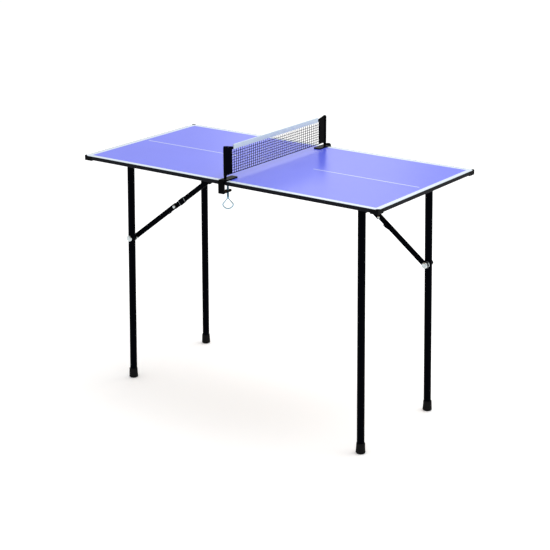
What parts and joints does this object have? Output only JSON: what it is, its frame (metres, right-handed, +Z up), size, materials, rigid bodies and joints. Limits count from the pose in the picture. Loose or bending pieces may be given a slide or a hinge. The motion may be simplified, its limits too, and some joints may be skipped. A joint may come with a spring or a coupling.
{
  "type": "table tennis table",
  "caption": "Small folding table tennis table: a painted board on two hinged tube leg frames with locking braces, and a screw-clamped net.",
  "frame": {"origin": "on the floor, under the middle of the table", "axes": "+Z up, +X along the table's length, +Y across it, away from the brace of the left legs"},
  "size_m": [0.9, 0.4684, 0.72],
  "materials": {
    "blue_painted_board": "blue paint with a satin sheen and a white border line",
    "black_edge_band": "smooth black edging",
    "black_corner_plastic": "moulded black plastic",
    "black_powder_coated_steel": "black powder coat",
    "black_rubber": "matt black rubber",
    "zinc_plated_steel": "bright zinc plate",
    "black_painted_casting": "glossy black paint",
    "black_post_plastic": "satin black plastic",
    "net_twine": "dark twisted twine",
    "white_net_tape": "white woven tape"
  },
  "bodies": {
    "table": {"table_top": "blue_painted_board", "edge_strip_far": "black_edge_band", "edge_strip_left": "black_edge_band", "edge_strip_near": "black_edge_band", "edge_strip_right": "black_edge_band", "corner_cap_far_left": "black_corner_plastic", "corner_cap_far_right": "black_corner_plastic", "corner_cap_near_left": "black_corner_plastic", "corner_cap_near_right": "black_corner_plastic", "hinge_saddle_left_1": "black_powder_coated_steel", "hinge_saddle_left_2": "black_powder_coated_steel", "hinge_saddle_right_1": "black_powder_coated_steel", "hinge_saddle_right_2": "black_powder_coated_steel", "brace_bracket_left": "black_powder_coated_steel", "bracket_pin_left": "black_powder_coated_steel", "brace_bracket_right": "black_powder_coated_steel", "bracket_pin_right": "black_powder_coated_steel", "clamp_body_near": "black_painted_casting", "clamp_body_far": "black_painted_casting", "net_post_near": "black_post_plastic", "net_post_far": "black_post_plastic", "net_mesh": "net_twine", "net_bottom_cord": "net_twine", "net_tape": "white_net_tape"},
    "left_legs": {"leg_crossbar_left": "black_powder_coated_steel", "leg_brace_side_left": "black_powder_coated_steel", "leg_plain_side_left": "black_powder_coated_steel", "leg_plug_brace_side_left": "black_corner_plastic", "leg_plug_plain_side_left": "black_corner_plastic", "foot_brace_side_left": "black_rubber", "foot_plain_side_left": "black_rubber", "leg_bolt_left": "zinc_plated_steel", "leg_spacer_left": "zinc_plated_steel", "leg_nut_left": "zinc_plated_steel"},
    "left_lower_link": {"brace_lower_link_left": "black_powder_coated_steel", "knee_rivet_lower_left": "zinc_plated_steel"},
    "left_upper_link": {"brace_upper_link_left": "black_powder_coated_steel", "knee_rivet_upper_left": "zinc_plated_steel"},
    "left_lock_sleeve": {"lock_sleeve_left": "black_powder_coated_steel"},
    "right_legs": {"leg_crossbar_right": "black_powder_coated_steel", "leg_brace_side_right": "black_powder_coated_steel", "leg_plain_side_right": "black_powder_coated_steel", "leg_plug_brace_side_right": "black_corner_plastic", "leg_plug_plain_side_right": "black_corner_plastic", "foot_brace_side_right": "black_rubber", "foot_plain_side_right": "black_rubber", "leg_bolt_right": "zinc_plated_steel", "leg_spacer_right": "zinc_plated_steel", "leg_nut_right": "black_powder_coated_steel"},
    "right_lower_link": {"brace_lower_link_right": "black_powder_coated_steel", "knee_rivet_lower_right": "zinc_plated_steel"},
    "right_upper_link": {"brace_upper_link_right": "black_powder_coated_steel", "knee_rivet_upper_right": "zinc_plated_steel"},
    "right_lock_sleeve": {"lock_sleeve_right": "black_powder_coated_steel"},
    "near_pad": {"clamp_pad_near": "black_rubber"},
    "near_screw": {"clamp_screw_near": "zinc_plated_steel"},
    "far_pad": {"clamp_pad_far": "black_rubber"},
    "far_screw": {"clamp_screw_far": "zinc_plated_steel"}
  },
  "joints": [
    {"name": "left_legs_fold", "type": "hinge", "parent": "table", "child": "left_legs", "pos_m": [-0.376, 0, 0.6115], "axis": [0, -1, 0], "range_deg": [0, 91.05]},
    {"name": "left_lower_link_turn", "type": "hinge", "parent": "left_legs", "child": "left_lower_link", "pos_m": [-0.37988, 0, 0.40004], "axis": [0, 1, 0], "range_deg": [0, 128.6]},
    {"name": "left_upper_link_turn", "type": "hinge", "parent": "table", "child": "left_upper_link", "pos_m": [-0.1321, 0, 0.59], "axis": [0, -1, 0], "range_deg": [0, 151.4]},
    {"name": "left_lock_slide", "type": "slide", "parent": "left_upper_link", "child": "left_lock_sleeve", "axis": [0.7936, 0, 0.6084], "range_m": [0, 0.03]},
    {"name": "right_legs_fold", "type": "hinge", "parent": "table", "child": "right_legs", "pos_m": [0.376, 0, 0.6115], "axis": [0, 1, 0], "range_deg": [0, 91.05]},
    {"name": "right_lower_link_turn", "type": "hinge", "parent": "right_legs", "child": "right_lower_link", "pos_m": [0.37988, 0, 0.40004], "axis": [0, -1, 0], "range_deg": [0, 128.6]},
    {"name": "right_upper_link_turn", "type": "hinge", "parent": "table", "child": "right_upper_link", "pos_m": [0.1321, 0, 0.59], "axis": [0, 1, 0], "range_deg": [0, 151.4]},
    {"name": "right_lock_slide", "type": "slide", "parent": "right_upper_link", "child": "right_lock_sleeve", "axis": [-0.7936, 0, 0.6084], "range_m": [0, 0.03]},
    {"name": "near_clamp_travel", "type": "slide", "parent": "table", "child": "near_pad", "axis": [0, 0, -1], "range_m": [0, 0.0101]},
    {"name": "near_clamp_turn", "type": "hinge", "parent": "near_pad", "child": "near_screw", "pos_m": [0.005, -0.206, 0.6], "axis": [0, 0, -1], "range_deg": [0, 3600]},
    {"name": "far_clamp_travel", "type": "slide", "parent": "table", "child": "far_pad", "axis": [0, 0, -1], "range_m": [0, 0.0101]},
    {"name": "far_clamp_turn", "type": "hinge", "parent": "far_pad", "child": "far_screw", "pos_m": [0.005, 0.206, 0.6], "axis": [0, 0, -1], "range_deg": [0, 3600]}
  ],
  "couplings": [
    {"joint": "left_lower_link_turn", "follows": "left_legs_fold", "ratio": 1.4116},
    {"joint": "left_upper_link_turn", "follows": "left_legs_fold", "ratio": 1.6618},
    {"joint": "right_lower_link_turn", "follows": "right_legs_fold", "ratio": 1.4116},
    {"joint": "right_upper_link_turn", "follows": "right_legs_fold", "ratio": 1.6618},
    {"joint": "near_clamp_travel", "follows": "near_clamp_turn", "m_per_rad": 0.00015915},
    {"joint": "far_clamp_travel", "follows": "far_clamp_turn", "m_per_rad": 0.00015915}
  ]
}
